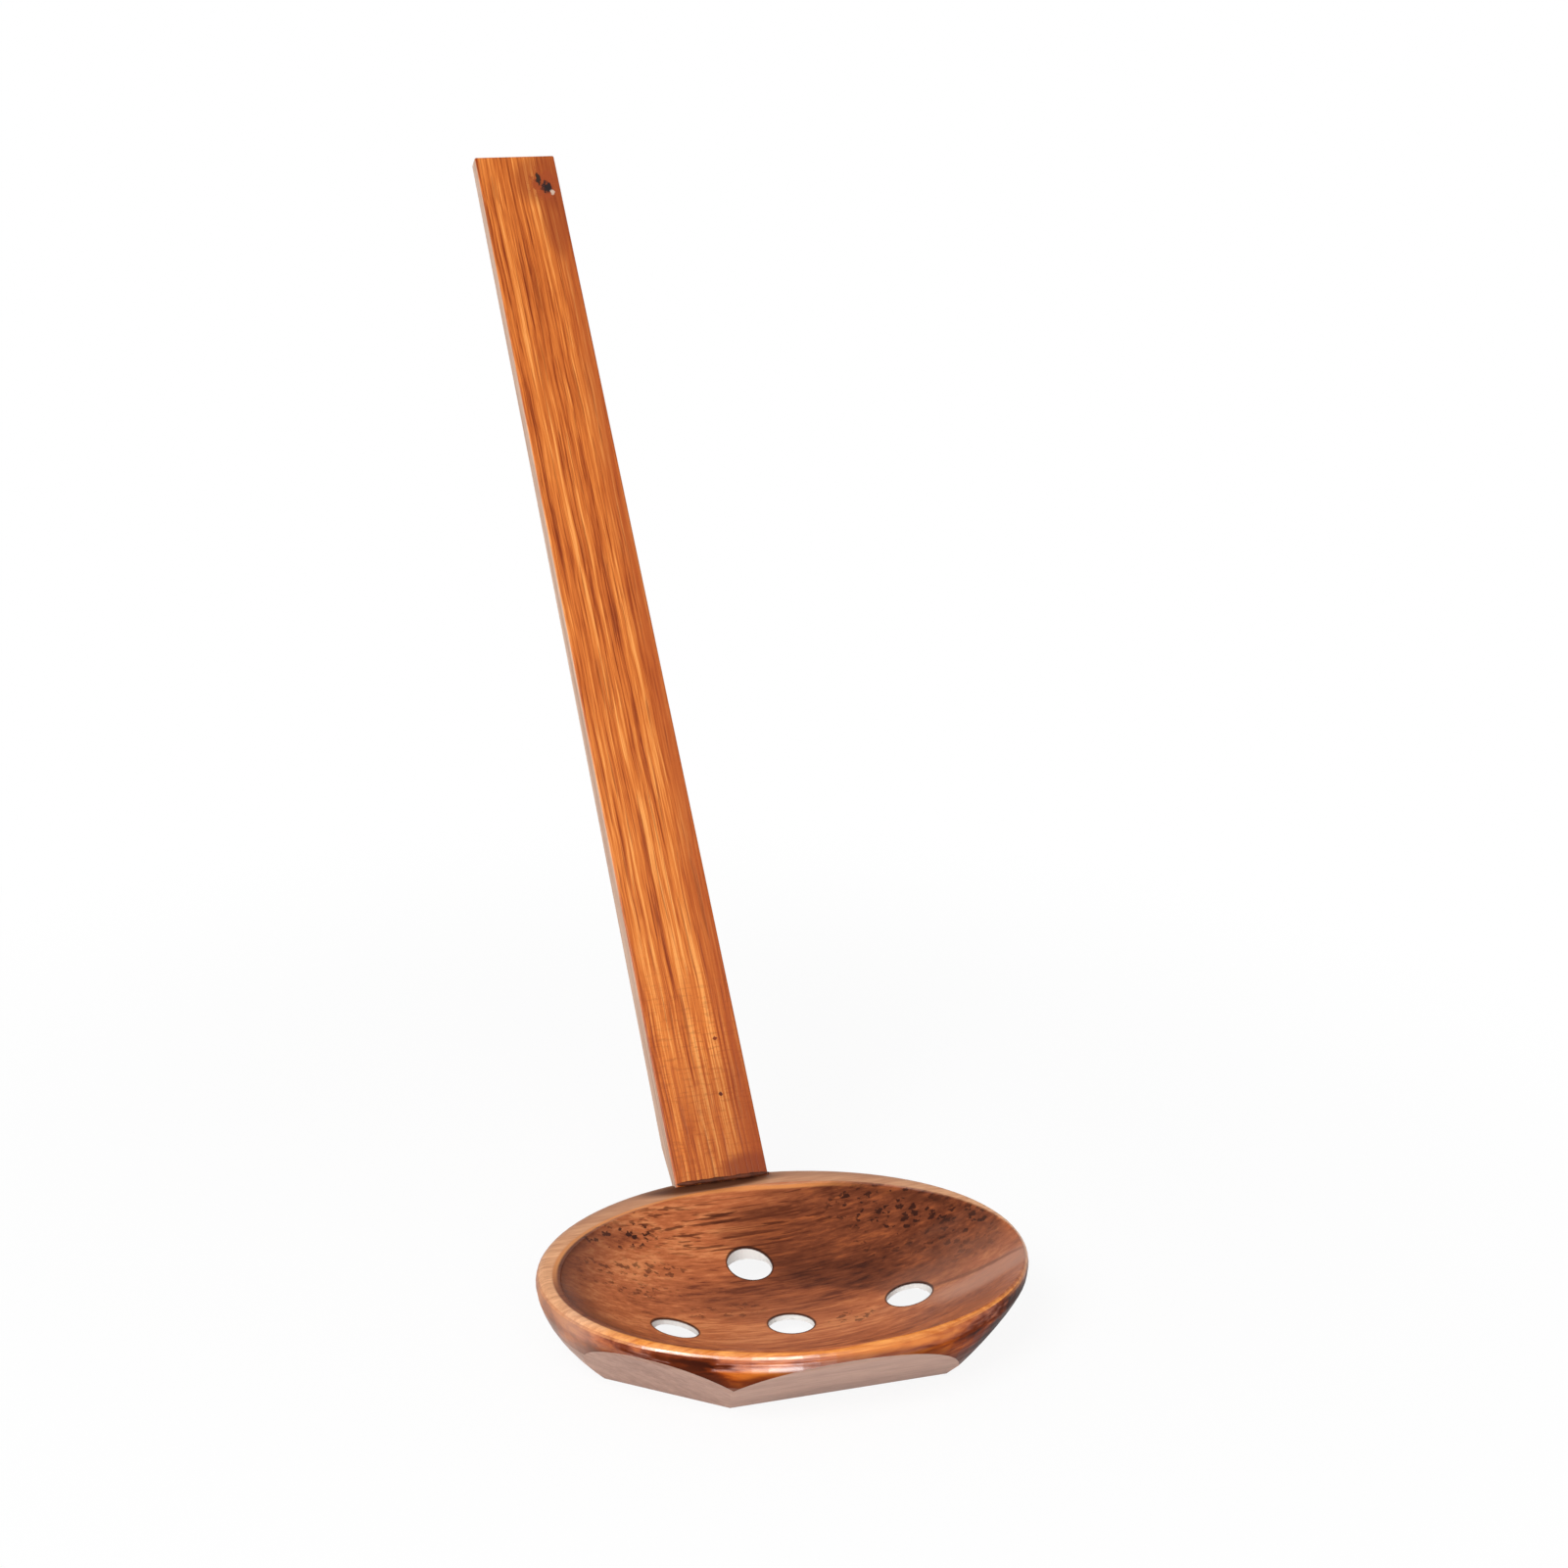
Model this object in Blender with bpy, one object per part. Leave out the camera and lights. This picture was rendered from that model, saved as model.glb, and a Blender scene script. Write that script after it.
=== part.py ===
"""Perforated wooden ramen spoon: an oval carved bowl with a faceted foot, and a slat handle glued into its rear wall."""

import math

import bmesh
import bpy
from mathutils import Matrix, Vector

# Bowl, outside
RIM_HALF_WIDTH = 0.043
RIM_HALF_DEPTH = 0.0372
RIM_SHIFT_Y = 0.0008
RIM_TURN = math.radians(3.0)
BOWL_HEIGHT = 0.014
RIM_ROUND = 0.0018
RIM_INNER_EASE = 0.0003
SIDE_TUCK = 0.0078
FRONT_TUCK = 0.0058
TUCK_POWER = 1.75

# Foot: a six-sided outline, and the slant of the facets that rise from it
FOOT_HALF_LENGTH = 0.0344
FOOT_HALF_EDGE = 0.0191
FOOT_FRONT = 0.0236
FOOT_BACK = 0.0315
FOOT_SIDE_FORWARD = 0.0055
FOOT_EDGE_SHIFT = 0.0014
FOOT_SIDE_SHIFT = -0.0010
FACET_SLANT = 1.08
SIDE_FACET_SLANT = 0.94

# Hollow of the bowl
HOLLOW_HALF_WIDTH = 0.0404
HOLLOW_HALF_DEPTH = 0.0329
HOLLOW_SHIFT_X = 0.0011
HOLLOW_SHIFT_Y = -0.0018
HOLLOW_TURN = math.radians(1.6)
HOLLOW_FLOOR = 0.0031
HOLLOW_POWER = 2.6

# Recess under the bowl, and the drain holes
SHELL = 0.0012
RECESS_ROOF = 0.0048
RECESS_HALF_WIDTH = 0.0285
RECESS_HALF_DEPTH = 0.0259
RECESS_Y = 0.0045
HOLE_RADIUS = 0.0040
HOLE_BACK_X = -0.0009
HOLE_BACK_Y = 0.0166
HOLE_MIDDLE_Y = -0.0033
HOLE_SIDE_X = 0.0212
HOLE_SIDE_SHIFT = 0.0005
HOLE_SIDE_Y = -0.0030

# Handle
HANDLE_LEAN = math.radians(39.0)
HANDLE_SIDE_TILT = math.radians(0.29)
HANDLE_LENGTH = 0.2193
HANDLE_WIDTH_LOW = 0.0177
HANDLE_WIDTH_TOP = 0.0168
HANDLE_THICK_LOW = 0.0044
HANDLE_THICK_TOP = 0.0031
HANDLE_SEAT_INSET = 0.0030
HANDLE_EDGE = 0.0004
CUTAWAY_START = 0.0010
CUTAWAY_END = 0.0085
TONGUE_THICK = 0.0024
TONGUE_DEPTH = 0.0065

# Joint
JOINT_GAP = 0.0003
GLUE_BED_THICK = 0.0006
GLUE_SEAM_WIDTH = 0.0174
GLUE_SEAM_SIZE = 0.0006

AROUND = 96
CUT_SPAN = 0.02


def clear_scene():
    for obj in list(bpy.data.objects):
        bpy.data.objects.remove(obj, do_unlink=True)


def wood(name, colour, roughness):
    material = bpy.data.materials.new(name)
    material.use_nodes = True
    shader = material.node_tree.nodes["Principled BSDF"]
    shader.inputs["Base Color"].default_value = (*colour, 1.0)
    shader.inputs["Roughness"].default_value = roughness
    shader.inputs["Metallic"].default_value = 0.0
    return material


def oval(half_x, half_y, z, centre=(0.0, 0.0), turn=RIM_TURN):
    """A level ring, turned a little in the plan as the carved rim is."""
    points = []
    for index in range(AROUND):
        angle = 2 * math.pi * index / AROUND
        across = half_x * math.cos(angle)
        along = half_y * math.sin(angle)
        x = across * math.cos(turn) - along * math.sin(turn)
        y = across * math.sin(turn) + along * math.cos(turn)
        points.append((centre[0] + x, centre[1] + y, z))
    return points


def loft(rings):
    """A closed solid through rings of equal point count, from the lowest to the highest, with flat ends."""
    bm = bmesh.new()
    loops = [[bm.verts.new(point) for point in ring] for ring in rings]
    for low, high in zip(loops, loops[1:]):
        for index in range(len(low)):
            after = (index + 1) % len(low)
            bm.faces.new((low[index], low[after], high[after], high[index]))
    bm.faces.new(list(reversed(loops[0])))
    bm.faces.new(loops[-1])
    bmesh.ops.recalc_face_normals(bm, faces=bm.faces)
    return bm


def to_object(bm, name, material=None):
    mesh = bpy.data.meshes.new(name)
    bm.to_mesh(mesh)
    bm.free()
    obj = bpy.data.objects.new(name, mesh)
    bpy.context.scene.collection.objects.link(obj)
    if material:
        mesh.materials.append(material)
    return obj


def cut(target, cutter):
    cutter.hide_render = True
    cutter.display_type = "WIRE"
    modifier = target.modifiers.new("cut_" + cutter.name, "BOOLEAN")
    modifier.operation = "DIFFERENCE"
    modifier.solver = "EXACT"
    modifier.object = cutter


def hollow_height(x, y):
    """Height of the hollow's surface over a point of the plan."""
    from_x = x - HOLLOW_SHIFT_X
    from_y = y - HOLLOW_SHIFT_Y
    across = (from_x * math.cos(HOLLOW_TURN) + from_y * math.sin(HOLLOW_TURN)) / HOLLOW_HALF_WIDTH
    along = (from_y * math.cos(HOLLOW_TURN) - from_x * math.sin(HOLLOW_TURN)) / HOLLOW_HALF_DEPTH
    radius = math.hypot(across, along)
    return HOLLOW_FLOOR + (BOWL_HEIGHT - HOLLOW_FLOOR) * radius**HOLLOW_POWER


def slice_off(bm, point, outward):
    """Removes what lies beyond a plane and closes the cut with one flat face."""
    geometry = bm.verts[:] + bm.edges[:] + bm.faces[:]
    bmesh.ops.bisect_plane(bm, geom=geometry, plane_co=point, plane_no=outward, clear_outer=True, dist=1e-7)
    border = [edge for edge in bm.edges if edge.is_boundary]
    bmesh.ops.holes_fill(bm, edges=border, sides=0)
    bmesh.ops.recalc_face_normals(bm, faces=bm.faces)


def foot_corners():
    side = FOOT_HALF_LENGTH
    edge = FOOT_HALF_EDGE
    outline = [
        (FOOT_SIDE_SHIFT - side, -FOOT_SIDE_FORWARD),
        (FOOT_EDGE_SHIFT - edge, -FOOT_FRONT),
        (FOOT_EDGE_SHIFT + edge, -FOOT_FRONT),
        (FOOT_SIDE_SHIFT + side, -FOOT_SIDE_FORWARD),
        (FOOT_EDGE_SHIFT + edge, FOOT_BACK),
        (FOOT_EDGE_SHIFT - edge, FOOT_BACK),
    ]
    return [Vector((x, y, 0.0)) for x, y in outline]


def bowl_body():
    rings = []
    levels = 8
    centre = (0.0, RIM_SHIFT_Y)
    wall = BOWL_HEIGHT - RIM_ROUND
    for level in range(levels):
        part = level / levels
        tuck = (1 - part) ** TUCK_POWER
        half_x = RIM_HALF_WIDTH - SIDE_TUCK * tuck
        half_y = RIM_HALF_DEPTH - FRONT_TUCK * tuck
        rings.append(oval(half_x, half_y, wall * part, centre))
    round_steps = 6
    for step in range(round_steps + 1):
        angle = math.pi / 2 * step / round_steps
        inset = RIM_ROUND * (1 - math.cos(angle))
        height = BOWL_HEIGHT - RIM_ROUND * (1 - math.sin(angle))
        rings.append(oval(RIM_HALF_WIDTH - inset, RIM_HALF_DEPTH - inset, height, centre))
    bm = loft(rings)
    corners = foot_corners()
    for index, corner in enumerate(corners):
        edge = corners[(index + 1) % len(corners)] - corner
        outward = Vector((edge.y, -edge.x, 0.0)).normalized()
        outward.z = -(FACET_SLANT if abs(edge.y) < abs(edge.x) * 0.1 else SIDE_FACET_SLANT)
        slice_off(bm, corner, outward.normalized())
    return bm


def hollow_cutter():
    steps = 16
    rings = []
    centre = (HOLLOW_SHIFT_X, HOLLOW_SHIFT_Y)
    for step in range(1, steps + 1):
        radius = step / steps
        height = HOLLOW_FLOOR + (BOWL_HEIGHT - HOLLOW_FLOOR) * radius**HOLLOW_POWER
        if step == steps:
            height -= RIM_INNER_EASE
        half_x = HOLLOW_HALF_WIDTH * radius
        half_y = HOLLOW_HALF_DEPTH * radius
        rings.append(oval(half_x, half_y, height, centre, HOLLOW_TURN))
    flare = RIM_INNER_EASE * 1.5
    half_x = HOLLOW_HALF_WIDTH + flare
    half_y = HOLLOW_HALF_DEPTH + flare
    rings.append(oval(half_x, half_y, BOWL_HEIGHT + RIM_INNER_EASE, centre, HOLLOW_TURN))
    rings.append(oval(half_x, half_y, BOWL_HEIGHT + CUT_SPAN, centre, HOLLOW_TURN))
    return loft(rings)


def recess_cutter():
    """The underside hollow: its roof follows the bowl's surface one shell thickness below it, up to a level top."""

    def roof(x, y):
        return min(hollow_height(x, y) - SHELL, RECESS_ROOF)

    steps = 6
    bm = bmesh.new()
    centre = (HOLLOW_SHIFT_X, RECESS_Y)
    tip = bm.verts.new((*centre, roof(*centre)))
    loops = []
    for step in range(1, steps + 1):
        part = step / steps
        ring = oval(RECESS_HALF_WIDTH * part, RECESS_HALF_DEPTH * part, 0.0, centre)
        loops.append([bm.verts.new((x, y, roof(x, y))) for x, y, _ in ring])
    loops.append([bm.verts.new(p) for p in oval(RECESS_HALF_WIDTH, RECESS_HALF_DEPTH, -CUT_SPAN, centre)])
    for index in range(AROUND):
        after = (index + 1) % AROUND
        bm.faces.new((tip, loops[0][index], loops[0][after]))
        for inner, outer in zip(loops, loops[1:]):
            bm.faces.new((inner[index], outer[index], outer[after], inner[after]))
    bm.faces.new(list(reversed(loops[-1])))
    bmesh.ops.recalc_face_normals(bm, faces=bm.faces)
    return bm


def hole_cutter(x, y):
    bm = bmesh.new()
    place = Matrix.Translation((x, y, BOWL_HEIGHT / 2))
    bmesh.ops.create_cone(
        bm,
        cap_ends=True,
        segments=32,
        radius1=HOLE_RADIUS,
        radius2=HOLE_RADIUS,
        depth=2 * CUT_SPAN,
        matrix=place,
    )
    return bm


def block(low, high):
    """A box between two corners."""
    bm = bmesh.new()
    bmesh.ops.create_cube(bm, size=1.0)
    middle = [(a + b) / 2 for a, b in zip(low, high)]
    size = [b - a for a, b in zip(low, high)]
    bmesh.ops.transform(bm, matrix=Matrix.Translation(middle) @ Matrix.Diagonal((*size, 1.0)), verts=bm.verts)
    return bm


def handle_body():
    """In the handle's own axes: X across, Y from the front face to the back, Z up the slat."""

    def section(along, thick):
        part = max(along, 0.0) / HANDLE_LENGTH
        half = (HANDLE_WIDTH_LOW + (HANDLE_WIDTH_TOP - HANDLE_WIDTH_LOW) * part) / 2
        return [(-half, 0.0, along), (half, 0.0, along), (half, thick, along), (-half, thick, along)]

    return loft([
        section(-TONGUE_DEPTH, TONGUE_THICK),
        section(CUTAWAY_START, TONGUE_THICK),
        section(CUTAWAY_END, HANDLE_THICK_LOW),
        section(HANDLE_LENGTH, HANDLE_THICK_TOP),
    ])


def soften(obj, width):
    bevel = obj.modifiers.new("softened_edges", "BEVEL")
    bevel.width = width
    bevel.segments = 2
    bevel.limit_method = "ANGLE"
    bevel.angle_limit = math.radians(30)


def shade_round(obj, limit):
    """Smooth shading, with the edges sharper than the limit kept crisp."""
    for face in obj.data.polygons:
        face.use_smooth = True
    bm = bmesh.new()
    bm.from_mesh(obj.data)
    for edge in bm.edges:
        edge.smooth = edge.calc_face_angle(0.0) < limit
    bm.to_mesh(obj.data)
    bm.free()


clear_scene()
bowl_wood = wood("bowl_wood", (0.22, 0.072, 0.026), 0.28)
handle_wood = wood("handle_wood", (0.52, 0.14, 0.035), 0.36)
glue = wood("glue", (0.06, 0.022, 0.010), 0.35)

reach = HANDLE_LENGTH * math.sin(HANDLE_LEAN) + HANDLE_THICK_TOP * math.cos(HANDLE_LEAN)
front_y = RIM_SHIFT_Y - RIM_HALF_DEPTH
seat_y = RIM_SHIFT_Y + RIM_HALF_DEPTH - HANDLE_SEAT_INSET
spoon = bpy.data.objects.new("ramen_spoon", None)
spoon.location = (0.0, -(seat_y + reach + front_y) / 2, 0.0)
bpy.context.scene.collection.objects.link(spoon)

seat = bpy.data.objects.new("handle_seat", None)
seat.location = (0.0, seat_y, BOWL_HEIGHT)
seat.rotation_euler = (-HANDLE_LEAN, HANDLE_SIDE_TILT, 0.0)
seat.parent = spoon
bpy.context.scene.collection.objects.link(seat)

bowl = to_object(bowl_body(), "bowl", bowl_wood)
shade_round(bowl, math.radians(25))
bowl.parent = spoon

cutters = [(hollow_cutter(), "hollow", spoon), (recess_cutter(), "recess", spoon)]
holes = {
    "hole_back": (HOLE_BACK_X, HOLE_BACK_Y),
    "hole_middle": (0.0, HOLE_MIDDLE_Y),
    "hole_left": (HOLE_SIDE_SHIFT - HOLE_SIDE_X, HOLE_SIDE_Y),
    "hole_right": (HOLE_SIDE_SHIFT + HOLE_SIDE_X, HOLE_SIDE_Y),
}
for name, place in holes.items():
    cutters.append((hole_cutter(*place), name, spoon))
slot_half = HANDLE_WIDTH_LOW / 2 + JOINT_GAP
slot_depth = TONGUE_DEPTH + GLUE_BED_THICK + 2 * JOINT_GAP
slot = block(
    (-slot_half, -JOINT_GAP, -slot_depth),
    (slot_half, TONGUE_THICK + JOINT_GAP, CUT_SPAN),
)
cutters.append((slot, "tongue_slot", seat))
for shape, name, parent in cutters:
    cutter = to_object(shape, name)
    cutter.parent = parent
    shade_round(cutter, math.radians(25))
    cut(bowl, cutter)

handle = to_object(handle_body(), "handle", handle_wood)
handle.parent = seat
soften(handle, HANDLE_EDGE)

bed_top = -(TONGUE_DEPTH + JOINT_GAP)
bed_half = HANDLE_WIDTH_LOW / 2 - JOINT_GAP
glue_bed = to_object(
    block((-bed_half, JOINT_GAP, bed_top - GLUE_BED_THICK), (bed_half, TONGUE_THICK - JOINT_GAP, bed_top)),
    "glue_bed",
    glue,
)
glue_bed.parent = seat

seam_gap = JOINT_GAP * math.sqrt(2)
glue_seam = to_object(
    block((-GLUE_SEAM_WIDTH / 2, -GLUE_SEAM_SIZE, 0.0), (GLUE_SEAM_WIDTH / 2, 0.0, GLUE_SEAM_SIZE)),
    "glue_seam",
    glue,
)
glue_seam.location = (0.0, seat_y - seam_gap, BOWL_HEIGHT + JOINT_GAP)
glue_seam.parent = spoon
soften(glue_seam, GLUE_SEAM_SIZE * 0.3)
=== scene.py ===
"""Looks of the perforated wooden ramen spoon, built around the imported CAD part."""

import math

import bmesh
import bpy
from mathutils import Matrix, Vector


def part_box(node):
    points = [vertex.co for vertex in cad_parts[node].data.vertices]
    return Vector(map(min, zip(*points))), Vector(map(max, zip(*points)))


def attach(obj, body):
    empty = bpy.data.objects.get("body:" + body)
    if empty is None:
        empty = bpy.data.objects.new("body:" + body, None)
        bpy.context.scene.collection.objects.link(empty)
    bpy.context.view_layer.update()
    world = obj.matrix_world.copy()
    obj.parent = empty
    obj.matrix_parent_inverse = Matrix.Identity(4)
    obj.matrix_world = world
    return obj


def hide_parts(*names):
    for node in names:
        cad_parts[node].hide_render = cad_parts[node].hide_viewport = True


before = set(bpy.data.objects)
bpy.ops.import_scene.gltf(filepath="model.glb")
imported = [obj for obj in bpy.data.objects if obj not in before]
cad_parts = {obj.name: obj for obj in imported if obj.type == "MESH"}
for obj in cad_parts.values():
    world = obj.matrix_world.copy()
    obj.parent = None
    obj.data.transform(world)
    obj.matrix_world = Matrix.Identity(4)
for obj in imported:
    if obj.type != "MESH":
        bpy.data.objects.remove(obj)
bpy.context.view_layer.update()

# Camera, fitted to the photograph: lengths in metres, the lens in pixels and millimetres
IMAGE_SIDE = 1601
FOCAL_PIXELS = 3300.0
SENSOR = 36.0
NEAR_CLIP = 0.01
CAMERA_TURN = math.radians(19.0)
CAMERA_PITCH = math.radians(16.4)
CAMERA_FROM_BOWL = Vector((-0.16558, -0.48023, 0.24801))

# Lamps, in metres from the bowl: name, place, point aimed at, size, power
LAMPS = [
    ("key", (-0.62, -0.5, 0.78), (0.0, 0.03, 0.05), (0.6, 0.6), 6.8),
    ("front", (-0.12, -0.9, 0.43), (0.0, 0.0, 0.0), (0.5, 0.3), 2.4),
]
# Oval cards that light only the gloss, in the same form
HIGHLIGHT_CARDS = [
    ("card_front", (-0.10, -0.72, 0.72), (0.0, 0.0, 0.0), (0.25, 0.40), 8.0),
    ("card_left", (-0.62, -0.30, 0.71), (0.0, 0.0, 0.0), (0.36, 0.22), 9.0),
]
WORLD_STRENGTH = 0.42
WHITE = (1.0, 1.0, 1.0, 1.0)

# Floor: its size in metres, its surface, and the oval in millimetres where the shadow shows
FLOOR_HALF_SIDE = 3.0
FLOOR_DROP = 0.0002
FLOOR_GREY = 0.95
FLOOR_ROUGHNESS = 0.8
SHADOW_OVAL = ((0.0, 60.0), (230.0, 260.0))
SHADOW_CORE = 0.35
SHADOW_SHARE = 0.10

# Sizes shared with the CAD part, in metres
MILLIMETRES = 1000.0
RIM_FRONT = 0.0364
BOWL_HEIGHT = 0.014
SEAT_BEHIND = 0.035
HANDLE_LEAN = math.radians(39.0)

# Sizes shared with the CAD part, in millimetres from the bowl's middle
HOLES = [(-0.9, 16.6), (0.0, -3.3), (-20.7, -3.0), (21.7, -3.0)]
HOLE_RADIUS = 4.0
HOLLOW_FLOOR = 3.1
HOLLOW_DEPTH = BOWL_HEIGHT * MILLIMETRES - HOLLOW_FLOOR
HOLLOW_POWER = 2.6
FOOT_LEFT = (-35.4, -5.5, 0.0)
FOOT_FRONT_LEFT = (-17.7, -23.6, 0.0)
FOOT_FRONT_RIGHT = (20.5, -23.6, 0.0)
# The two facets in view: the foot's corners that each rises from, and its slant
FACETS = [(FOOT_LEFT, FOOT_FRONT_LEFT, 0.94), (FOOT_FRONT_LEFT, FOOT_FRONT_RIGHT, 1.08)]

# Glue bead: its radius in metres, and waves along it as share of the radius, pace and start
BEAD_STEPS = 48
BEAD_SIDES = 10
BEAD_RADIUS = 0.00055
BEAD_GIRTH = 0.85
BEAD_SWELLS = [(0.10, 19.0, 0.0), (0.08, 47.0, 1.0)]
BEAD_SWAY = (0.10, 31.0)
BEAD_FLATNESS = 0.8
BEAD_END = 0.35
BEAD_TAPER = 7.0

# Forms of the rows below. Lengths on the bowl are in millimetres from its middle on the floor, and on
# the handle in millimetres across and up from its seat. Colours are screen colours from 0 to 255.
# Oval: middle, radii, turn in degrees. Area: an oval, the softness of its edge, its share of the wobble.
# Noise: cells to the millimetre along each axis, shift, detail, roughness, twist.
# Push: cells to the millimetre, reach. Fade: start, end, and the values there if not 0 and 1.
# Grain: values with their colours, from dark to light. Paint: the share that covers, colour.
# Roughness: gain, least. Relief: strength, height in metres.
NOISE_MIDDLE = 0.5
PUSH_DETAIL = 2.0
FAR = 1.0e6

# Bowl: figure of the wood
BOWL_WAVER = ((0.05, 0.16, 0.16), (2.0, 5.0, 0.0), 3.0, 0.55, 0.0)
BOWL_WOBBLE = 1.3
BOWL_BANDS = ((0.014, 0.10, 0.16), (0.3, 1.7, 0.0), 2.0, 0.5, 0.6)
BOWL_STREAKS = ((0.045, 0.85, 0.9), (5.0, 2.0, 1.0), 4.0, 0.6, 0.3)
BOWL_FIBRES = ((0.24, 1.3, 1.6), (1.0, 6.0, 3.0), 4.0, 0.65, 0.0)
BAND_SHARE = 0.34
STREAK_SHARE = 0.34
FIBRE_SHARE = 0.32
LIGHT_GRAIN = [
    (0.39, (122, 60, 36)),
    (0.46, (169, 92, 55)),
    (0.53, (191, 108, 66)),
    (0.61, (216, 137, 87)),
]
DARK_GRAIN = [
    (0.38, (66, 30, 19)),
    (0.46, (100, 50, 30)),
    (0.53, (124, 65, 40)),
    (0.63, (162, 88, 50)),
]
HEART = ((22, 14), (25, 15), -24, 0.55, 1.0)
HEART_SLANT = 0.52
HEART_FRONT = (8.5, 13.0)
DARK_MIDDLE = ((3, 6), (16, 9), -10, 0.8, 1.0)
DARK_MIDDLE_SHARE = 0.4

# Bowl: lines, cracks and pores. A crack is middle, half length and turn, a pore patch is an oval and its
# strength. The last values shape a single pore.
BOWL_LINES = ((0.03, 1.5, 1.6), (7.0, 1.0, 4.0), 2.0, 0.5, 0.0)
LINE_VALUES = (0.54, 0.62)
LINED = ((0, 24), (24, 6), 4, 0.6, 1.0)
LINE_PAINT = (0.75, (84, 38, 22))
GRAIN_CRACKS = [
    ((-4.2, 25.7), 5.2, 6),
    ((-2.8, 27.0), 3.2, 7),
    ((-12.2, 24.7), 2.7, 15),
    ((-10.6, 23.3), 3.1, 9),
    ((5.9, 21.2), 1.8, -5),
    ((6.2, 24.3), 1.8, -6),
]
CRACK_HALF_WIDTH = 0.24
CRACK_FRAY = 2.4
CRACK_SOFTNESS = 0.8
CRACK_PAINT = (0.75, (66, 28, 16))
PORE_PATCHES = [
    ((-27, 20.5), (5, 2.6), 14, 0.9),
    ((-20, 22.3), (5, 2.4), 10, 0.95),
    ((-22, 14.4), (10, 2.4), 6, 0.6),
    ((-23, 9.0), (8, 1.9), 2, 0.5),
    ((24, 21), (9, 4.0), -25, 0.9),
    ((31, 13), (11, 4.5), -40, 0.9),
    ((35, 4), (6, 5.0), -60, 0.6),
    ((37, 8), (5.5, 2.6), -62, 1.0),
    ((32.5, 5.5), (4.5, 2.2), -50, 0.85),
    ((26, 12), (9, 4.0), -30, 0.6),
    ((11, -4.5), (5, 2.4), 15, 0.6),
    ((-10, 3.5), (7, 2.6), 5, 0.45),
]
PORE_PATCH_SOFTNESS = 0.5
PORE_PUSH = (1.1, 0.9)
PORE_CELLS = (0.52, 0.80, 0.80)
PORE_REACH = 0.25
PORE_GROWTH = 0.22
PORE_SOFTNESS = 0.08
PORE_CHANCE = (0.15, 0.25)
PORE_PAINT = (1.0, (48, 21, 14))

# Bowl: painted shade and painted sheen in the hollow. The fade outward is over shares of the way to the
# inside's edge.
SHADE_OUTWARD = (0.72, 0.97)
SHADE_LEFTWARD = (-14.0, -34.0)
SHADE_PAINT = (0.68, (86, 52, 42))
# Painted sheen and painted gleam on the right wall, standing for the reflection of the bright back; the
# sheen's area also carries the coat
SHEEN = ((32, -9), (13, 15), 0, 0.9, 1.0)
SHEEN_PAINT = (0.45, (146, 90, 64))
GLEAM = ((34, -9.8), (11, 3.4), -8, 0.9, 0.5)
GLEAM_PAINT = (0.55, (196, 146, 122))
# A painted line of shade along the gleam
SHADE_LINE = ((33, -5.8), (8, 0.6), -20, 0.9, 0.4)
SHADE_LINE_PAINT = (0.55, (92, 50, 34))

# Bowl: the inside's edge, as painted at the left and as carved at the right, with painted shade just
# inside it and a painted highlight along it. Rises and falls are over shares of the way to the edge.
PAINTED_EDGE = ((0.1, -2.1), (40.7, 33.5), -3.7)
HOLLOW_EDGE = ((1.1, -1.8), (40.6, 33.1), 1.6)
CARVED_SLANT = -0.2
CARVED_RIGHTWARD = (0.0, 14.0)
# Painted shade just inside the edge
EDGE_SHADE_RISE = (0.93, 0.97)
EDGE_SHADE_FALL = (0.99, 0.97)
EDGE_SHADE_RIGHTWARD = (12.0, 24.0)
EDGE_SHADE_BACKWARD = (4.0, 12.0)
EDGE_SHADE_LEFTWARD = (-24.0, -34.0)
EDGE_SHADE_PAINT = (0.5, (80, 38, 22))
# Painted highlight along the edge
EDGE_HIGHLIGHT_RISE = (0.974, 0.987)
EDGE_HIGHLIGHT_FALL = (1.010, 0.998)
EDGE_HIGHLIGHT_BACKWARD = (-2.0, 12.0)
EDGE_HIGHLIGHT_LEFTWARD = (26.0, 12.0)
EDGE_HIGHLIGHT_PAINT = (0.7, (240, 158, 92))

# Bowl: outer wall, which is beyond the edge or turned down. It has painted shade low down and along the
# facets, is darker at the right and along a strip near the left end, and has a painted reflection that
# makes the left end paler.
BEYOND_EDGE = (1.0, 1.012)
TURNED_DOWN = (-0.02, -0.12)
BOWL_MOTTLE = ((0.07, 0.16, 0.42), (3.0, 8.0, 2.0), 3.0, 0.55, 0.4)
# Painted shade low on the outer wall
LOW_WALL = (12.8, 7.5)
LOW_WALL_SHADE = -0.14
RIGHT_WALL = (16.0, 34.0)
RIGHT_WALL_DARKNESS = (13.6, 10.0, -0.10, -0.36)
LEFT_STRIP_START = (-18.0, -25.0)
LEFT_STRIP_STOP = (-42.0, -35.0)
LEFT_STRIP_DARKNESS = -0.20
MOTTLE_SHARE = 0.8
WALL_STREAK_SHARE = 0.2
OUTER_GRAIN = [
    (0.24, (58, 17, 3)),
    (0.36, (120, 46, 9)),
    (0.46, (178, 84, 23)),
    (0.58, (216, 123, 47)),
]
# Painted shade along the facets' borders: its width, slack and paint
FACET_BORDER = 1.4
FACET_SLACK = 0.1
FACET_EDGE_SHADE_PAINT = (0.6, (84, 34, 14))
# Painted reflection of the white floor on the left end
LEFT_END = (-36.0, -41.0)
LEFT_END_REFLECTION_PAINT = (0.6, (176, 140, 122))

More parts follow.
